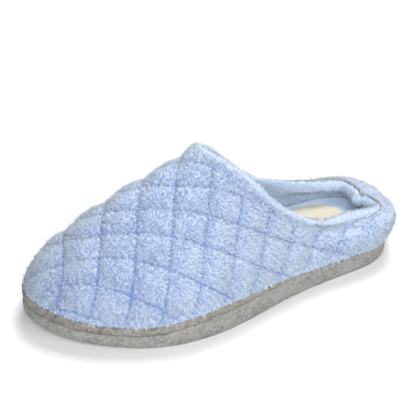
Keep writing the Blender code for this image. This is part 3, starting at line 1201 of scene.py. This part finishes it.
@dataclass(frozen=True)
class Piping:
    """Tape piping round the collar, on the seam behind and over the edge where the collar climbs."""

    radius: float = 0.85 * MM
    corners: int = 14
    stand: float = 0.9 * MM
    sink: float = 1.9 * MM
    share: float = 0.8
    step_ahead: float = 0.01
    climb_start: float = 42 * MM
    climb_length: float = 16 * MM
    climb_sink: float = 4.0
    outer_start: float = 18 * MM
    outer_length: float = 5 * MM
    outer_sink: float = 0.5
    ridge: float = 0.07
    ridges: int = 3
    ridge_steps: int = 12

    def path(self, wall: Upper) -> Array:
        """Middle line of the piping.

        It goes over the rim by a share that grows with the seam's height. It stands off the rim
        behind, and sinks into the pile on the outer side and where the collar climbs.

        Args:
            wall: the upper's wall.

        Returns:
            One point for each place round the foot.
        """
        seam = wall.rim_handles[0]
        climb = ramp(seam[:, 2:], self.climb_start, self.climb_length)
        on_rim = bezier(wall.rim_handles, self.share * climb)
        ahead = bezier(wall.rim_handles, self.share * climb + self.step_ahead) - on_rim
        square = unit(np.cross(loop_way(on_rim), ahead))
        buried = self.outer_sink * ramp(seam[:, :1], self.outer_start, self.outer_length)
        buried = np.clip(buried + self.climb_sink * climb, 0, 1)
        return on_rim + square * (self.stand - self.sink * buried)

    def build(self, wall: Upper, finish: ClothFinish) -> bpy.types.Object:
        """Piping: a round profile carried along its path, with low ridges that twist about it.

        Args:
            wall: the upper's wall.
            finish: the tape.

        Returns:
            The piece.
        """
        path = self.path(wall)
        first = unit(np.cross(unit(loop_way(path)), UP))
        second = np.cross(first, unit(loop_way(path)))
        turn = np.linspace(0, 2 * math.pi, self.corners, endpoint=False)[:, None, None]
        step = np.arange(FORM.around)[None, :, None]
        twist = self.ridges * turn - step * 2 * math.pi / self.ridge_steps
        size = self.radius * (1 + self.ridge * np.cos(twist))
        rings = path + (first * np.cos(turn) + second * np.sin(turn)) * size
        faces = Piece.rings_faces(len(rings), FORM.around, closed=True)
        made = Piece.mesh("collar_piping_tape", rings.reshape(-1, 3), faces, finish.material())
        Piece.merge(made)
        return hand_over(made, "piping_tape", "collar_piping")


@dataclass(frozen=True)
class Plot:
    """Places on a grid of rings where tufts stand: row and column, the cloth's points and normals."""

    row: Array
    place: Array
    roots: Array
    normals: Array

    @classmethod
    def scatter(cls, grid: Array, density: float, seed: int, weight: Array | None = None) -> Self:
        """Spreads places evenly over a grid of rings by area.

        Args:
            grid: the rings.
            density: places to a square metre.
            seed: picks the places.
            weight: share of the density in each cell.

        Returns:
            The places.
        """
        rng = np.random.default_rng(seed)
        beside, above = np.roll(grid, -1, axis=1) - grid, np.diff(grid, axis=0)
        area = np.linalg.norm(np.cross(beside[:-1], above), axis=-1)
        if weight is not None:
            area = area * weight[:-1]
        total = np.cumsum(area.ravel())
        count = int(total[-1] * density)
        pick = (np.arange(count) + rng.random(count)) / count * total[-1]
        cell = np.minimum(np.searchsorted(total, pick), area.size - 1)
        row, place = np.divmod(cell, area.shape[1])
        row = row + rng.random(count)
        place = place + rng.random(count)
        normals = unit(cls.between(ring_normals(grid), row, place))
        return cls(row, place, cls.between(grid, row, place), normals)

    @staticmethod
    def between(grid: Array, row: Array, place: Array) -> Array:
        """Values of a grid of rings between its points, straight between neighbours.

        Args:
            grid: rows of rings, with several numbers at each point.
            row: row of each place, as a real number.
            place: place along the ring, as a real number.

        Returns:
            One row of numbers for each place.
        """
        r, p = row.astype(int), place.astype(int)
        s, t = (row - r)[:, None], (place - p)[:, None]
        after, beside = np.minimum(r + 1, len(grid) - 1), (p + 1) % grid.shape[1]
        p = p % grid.shape[1]
        low = grid[r, p] * (1 - t) + grid[r, beside] * t
        high = grid[after, p] * (1 - t) + grid[after, beside] * t
        return low * (1 - s) + high * s

    def read(self, numbers: Array) -> Array:
        """A number for each place, from a grid of numbers."""
        return self.between(numbers[..., None], self.row, self.place)[:, 0]

    def flat(self, ways: Array) -> Array:
        """Ways laid flat on the cloth: their part square to the normals."""
        return ways - self.normals * np.sum(ways * self.normals, axis=-1, keepdims=True)


@dataclass(frozen=True)
class Pile:
    """Plush pile: three-sided tufts that stand on the cloth and lie in strands along the comb."""

    length: float = 2.4 * MM
    radius: float = 0.36 * MM
    radius_spread: float = 0.25
    density: float = 4.2e6
    sunk: float = 0.4 * MM
    softness: float = 0.5
    clump_size: float = 3.0 * MM
    strand_width: float = 1.6 * MM
    strand_step: float = 1.0 * MM
    strand_limit: float = 1.8
    # Painted shade and light: each tuft is darker at its root, as if shaded by its neighbours, and lighter
    # at its tip, as if lit; tone_spread is random tone.
    root_shade: float = 0.30
    tip_shade: float = 1.0
    tone_spread: float = 0.12

    def strands(self, plot: Plot, comb: Array) -> Array:
        """Height of the strands that the pile lies in: the mean of noise at five steps along the comb.

        Args:
            plot: where the tufts stand.
            comb: the way that they are combed.

        Returns:
            A number of about unit spread for each tuft.
        """
        way = unit(comb) * self.strand_step
        steps = [ripple(plot.roots + way * k, self.strand_width, Seed.STRAND) for k in (-2, -1, 0, 1, 2)]
        mean = np.mean(steps, axis=0)
        return np.clip(mean / mean.std(), -self.strand_limit, self.strand_limit)

    def clumps(self, plot: Plot, seed: int) -> Array:
        """Ways that the tufts of a clump share: smooth noise along each axis."""
        return np.stack([ripple(plot.roots, self.clump_size, seed + axis) for axis in range(3)], axis=1)

    def plant(
        self,
        name: str,
        plot: Plot,
        lean: Array,
        length: Array,
        painted_shade_and_tone: Array,
        seed: int,
        finish: bpy.types.Material,
    ) -> bpy.types.Object:
        """One piece of pile, with each tuft from a small triangle at its root to a point.

        Args:
            name: the piece's name.
            plot: where the tufts stand.
            lean: how far each tip is moved along the cloth, as a share of its length.
            length: length of each tuft.
            painted_shade_and_tone: added to each tuft's shade.
            seed: picks turns, widths and shades.
            finish: the plush.

        Returns:
            The piece.
        """
        rng = np.random.default_rng(seed)
        count, normals = len(plot.roots), plot.normals
        roots = plot.roots - normals * self.sunk
        way = unit(normals + lean)
        first = unit(np.cross(way, rng.normal(size=roots.shape)))[:, None]
        second = np.cross(way[:, None], first)
        turn = (np.array([0, 2, 4]) * math.pi / 3)[None, :, None]
        ring = first * np.cos(turn) + second * np.sin(turn)
        wide, thin = 1 + self.radius_spread, 1 - self.radius_spread
        foot = roots[:, None] + ring * self.radius * rng.uniform(thin, wide, (count, 1, 1))
        tip = roots + way * length[:, None]
        points = np.concatenate([foot, tip[:, None]], axis=1)
        soft_foot, soft_tip = normals[:, None] + self.softness * ring, normals + self.softness * lean
        soft = np.concatenate([soft_foot, soft_tip[:, None]], axis=1)
        # Each tuft's shade: the painted shade and light it is given, a random tone, and painted shade at
        # its root and painted light at its tip.
        tone = painted_shade_and_tone + rng.normal(0, self.tone_spread, count)
        shade = tone[:, None] + np.array([self.root_shade] * 3 + [self.tip_shade])
        faces = np.arange(count)[:, None, None] * 4 + np.array([[1, 0, 3], [2, 1, 3], [0, 2, 3]])
        flat_points, flat_faces, flat_soft = (grid.reshape(-1, 3) for grid in (points, faces, soft))
        made = Piece.mesh(name, flat_points, flat_faces, finish, shade, flat_soft)
        return hand_over(made, "plush")


@dataclass(frozen=True)
class OutsidePile(Pile):
    """Pile of the outside: combed down and back, ragged at the hem and upright at the collar.

    Leans are shares of a tuft's length, cuts and growths are shares taken from it or added to it.
    """

    bare_rows: int = 1
    comb_down: float = 0.32
    comb_back: float = 0.22
    clump_lean: float = 0.25
    stray: float = 0.3
    strand_growth: float = 0.28
    crease_cut: float = 0.75
    hem_share: float = 0.06
    hem_lean: float = 0.5
    hem_cut: float = 0.3
    hem_growth: float = 0.4
    hem_clump: float = 4.0 * MM
    collar_start: float = 0.92
    collar_fade: float = 0.06
    collar_lean: float = 0.35
    collar_growth: float = 0.5
    curl_size: float = 1.3 * MM
    # Painted shade and light: strand and crease shades are painted shade, the puff shade is painted light
    # in a puff's middle and painted shade towards its seams; the curl is a random tone.
    curl_shade: float = 0.14
    strand_shade: float = 0.10
    crease_shade: float = -0.34
    puff_shade: float = 0.12
    puff_mean: float = 0.7

    def weight(self, wall: Upper, zone: PileZone) -> Array:
        """1 in the cells of a stretch of the outside above its bare hem, and 0 elsewhere.

        Args:
            wall: the upper's wall.
            zone: the stretch.

        Returns:
            One number for each point of the outside.
        """
        low, high = zone.value
        place = np.arange(FORM.around) * len(STATIONS) / FORM.around
        inside = ((place - low) % len(STATIONS)) < (high - low)
        above_hem = np.arange(wall.outer_rows)[:, None] >= self.bare_rows
        return (inside[None, :] & above_hem).astype(float)

    def build(self, wall: Upper, zone: PileZone, finish: bpy.types.Material) -> bpy.types.Object:
        """Pile of one stretch of the outside.

        A tuft leans with the comb, with its clump and by a random stray. It is cut short in a
        seam's crease, droops over the hem and stands up along the collar's edge. Its shade is painted:
        darker between its strands and in the crease, lighter in the middle of the puff, with its curl
        as a random tone.

        Args:
            wall: the upper's wall.
            zone: the stretch.
            finish: the plush.

        Returns:
            The piece.
        """
        number = list(PileZone).index(zone)
        plot = Plot.scatter(wall.outer, self.density, Seed.PLACE + number, self.weight(wall, zone))
        crease, puff = plot.read(wall.crease), plot.read(wall.puff)
        hem = 1 - ramp(plot.row, 0, self.hem_share * wall.outer_rows)
        collar = ramp(plot.row / wall.outer_rows, self.collar_start, self.collar_fade)
        comb = self.comb_down * plot.flat(-UP) + self.comb_back * plot.flat(TO_HEEL)
        stray = np.random.default_rng(Seed.STRAY + number).normal(0, self.stray, plot.roots.shape)
        lean = comb + plot.flat(self.clump_lean * self.clumps(plot, Seed.CLUMP) + stray)
        lean = lean + collar[:, None] * (self.collar_lean * plot.flat(UP) - comb)
        lean = lean + hem[:, None] * (self.hem_lean * plot.flat(-UP))
        strand = self.strands(plot, comb)
        ragged = self.hem_growth * hem * ripple(plot.roots, self.hem_clump, Seed.HEM)
        length = self.length * (1 - self.crease_cut * crease) * (1 - self.hem_cut * hem)
        length = length * (1 + self.strand_growth * strand) * (1 + ragged)
        length = length * (1 + self.collar_growth * collar)
        # Painted shade between the strands and in the seams' creases, painted light in the middle of each
        # puff, and the curls as a random tone.
        painted_shade_and_tone = self.strand_shade * strand + self.curl_shade * ripple(plot.roots, self.curl_size, Seed.CURL)
        painted_shade_and_tone = painted_shade_and_tone + self.crease_shade * crease + self.puff_shade * (puff - self.puff_mean)
        name = f"pile_{zone.name.lower()}"
        return self.plant(name, plot, lean, length, painted_shade_and_tone, Seed.TUFT + number, finish)


@dataclass(frozen=True)
class LiningPile(Pile):
    """Pile over the rim and down the lining: shorter, thinner, and cut where the piping lies on it.

    The shade grows over the rows past the rim, as painted light on the lining, and falls again down the
    lining, as painted shade deep inside.
    """

    length: float = 0.9 * Pile.length
    density: float = 0.55 * Pile.density
    clump_size: float = 3.2 * MM
    outer_rows: int = 2
    lining_share: float = 0.96
    comb_up: float = 0.35
    clump_lean: float = 0.45
    strand_growth: float = 0.25
    piping_cut: float = 0.3
    piping_clear: float = 1.2 * MM
    piping_fade: float = 2 * MM
    shade: float = 0.14
    inside_shade: float = 0.34
    inside_rows: int = 6
    deep_start: float = 0.45
    deep_limit: float = 0.5
    deep_shade: float = -0.5
    strand_shade: float = 0.15

    def build(self, wall: Upper, piping: Array, finish: bpy.types.Material) -> bpy.types.Object:
        """Pile of the rim and the lining, combed up, with tufts that shorten towards the piping.

        Args:
            wall: the upper's wall.
            piping: the piping's middle line.
            finish: the plush.

        Returns:
            The piece.
        """
        lining = wall.lining[: int(wall.lining_rows * self.lining_share)]
        grid = np.concatenate([wall.outer[-self.outer_rows :], wall.rim, lining])
        plot = Plot.scatter(grid, self.density, Seed.LINING_PLACE)
        comb = plot.flat(UP)
        strand = self.strands(plot, comb)
        lean = self.comb_up * comb + self.clump_lean * plot.flat(self.clumps(plot, Seed.LINING_CLUMP))
        column = np.clip(np.rint(plot.place).astype(int), 0, FORM.around - 1)
        far = np.linalg.norm(plot.roots - piping[column], axis=1)
        left = np.clip(self.piping_cut + (far - self.piping_clear) / self.piping_fade, self.piping_cut, 1)
        length = self.length * (1 + self.strand_growth * strand) * left
        # Painted light on the lining past the rim, painted shade deep down it, and painted shade between
        # the strands.
        inside = ramp(plot.row, wall.rim_rows, self.inside_rows)
        deep = np.clip(plot.row / len(grid) - self.deep_start, 0, self.deep_limit)
        painted_shade_and_tone = self.shade + self.inside_shade * inside + self.deep_shade * deep
        painted_shade_and_tone = painted_shade_and_tone + self.strand_shade * strand
        return self.plant("pile_lining", plot, lean, length, painted_shade_and_tone, Seed.LINING_TUFT, finish)


@dataclass(frozen=True)
class Lamp:
    """A soft square light that looks at the slipper; its power is in watts."""

    name: str
    place: tuple[float, float, float]
    size: float
    power: float


@dataclass(frozen=True)
class Studio:
    """Pale floor, soft light from above and the camera at the photograph's angle, in degrees."""

    camera_place: tuple[float, float, float] = (0.65528, -0.31462, 0.57957)
    azimuth: float = 64.81
    elevation: float = 35.66
    lens: float = 122.79
    sensor: float = 36.0
    lamps: tuple[Lamp, ...] = (
        Lamp("back", (-0.4, 0.4, 1.2), 0.6, 14.0),
        Lamp("front", (0.9, -0.5, 0.8), 0.9, 13.5),
        Lamp("side", (1.2, 0.5, 0.7), 0.7, 8.0),
    )
    sky: float = 0.1
    floor_half: float = 6.0
    floor_colour: Colour = (0.9, 0.9, 0.9)
    floor_roughness: float = 0.9
    floor_specular: float = 0.1

    @staticmethod
    def hang(data: bpy.types.ID, place: tuple[float, float, float], view: Vector) -> bpy.types.Object:
        """Hangs a camera or a light so that it looks along a view.

        Args:
            data: the camera or light, whose name the object takes.
            place: where it hangs.
            view: the way it looks.

        Returns:
            The object.
        """
        made = bpy.data.objects.new(data.name, data)
        made.location = place
        made.rotation_mode = "QUATERNION"
        made.rotation_quaternion = view.to_track_quat("-Z", "Y")
        bpy.context.scene.collection.objects.link(made)
        return made

    def camera(self) -> None:
        """The camera, which looks down by the elevation from the azimuth, counted from the toe."""
        data = bpy.data.cameras.new("camera")
        data.lens = self.lens
        data.sensor_width = self.sensor
        turn, lift = math.radians(self.azimuth), math.radians(self.elevation)
        back = Vector((math.sin(turn) * math.cos(lift), -math.cos(turn) * math.cos(lift), math.sin(lift)))
        bpy.context.scene.camera = self.hang(data, self.camera_place, -back)

    def floor(self) -> None:
        """The floor: a wide level sheet, nearly white."""
        size = self.floor_half
        mesh = bpy.data.meshes.new("floor")
        corners = [(-size, -size, 0), (size, -size, 0), (size, size, 0), (-size, size, 0)]
        mesh.from_pydata(corners, [], [(0, 1, 2, 3)])
        made = bpy.data.objects.new("floor", mesh)
        bpy.context.scene.collection.objects.link(made)
        material = bpy.data.materials.new("white floor")
        material.use_nodes = True
        surface = material.node_tree.nodes["Principled BSDF"]
        surface.inputs["Base Color"].default_value = rgba(self.floor_colour)
        surface.inputs["Roughness"].default_value = self.floor_roughness
        surface.inputs["Specular IOR Level"].default_value = self.floor_specular
        mesh.materials.append(material)

    def build(self) -> None:
        """Sets up world, floor, lights and camera."""
        world = bpy.data.worlds.new("studio")
        world.use_nodes = True
        sky = world.node_tree.nodes["Background"]
        sky.inputs["Color"].default_value = rgba((1.0, 1.0, 1.0))
        sky.inputs["Strength"].default_value = self.sky
        bpy.context.scene.world = world
        bpy.context.scene.view_settings.view_transform = "Standard"
        self.floor()
        for lamp in self.lamps:
            data = bpy.data.lights.new(lamp.name, "AREA")
            data.size = lamp.size
            data.energy = lamp.power
            self.hang(data, lamp.place, -Vector(lamp.place))
        self.camera()


def main() -> None:
    """Builds and dresses the slipper, then the studio."""
    logging.basicConfig(level=logging.INFO, format="%(name)s %(message)s")
    sole = Sole()
    sole.lower_band(GREY_FELT)
    sole.upper_band(COARSE_FELT)
    footbed = Footbed()
    footbed.insole(INSOLE_CLOTH)
    footbed.label(LABEL_CLOTH)
    upper, piping = Upper(), Piping()
    plush = upper.shell(BLUE_PLUSH).data.materials[0]
    for zone in PileZone:
        OutsidePile().build(upper, zone, plush)
    LiningPile().build(upper, piping.path(upper), plush)
    piping.build(upper, PIPING_TAPE)
    Studio().build()


if __name__ == "__main__":
    main()
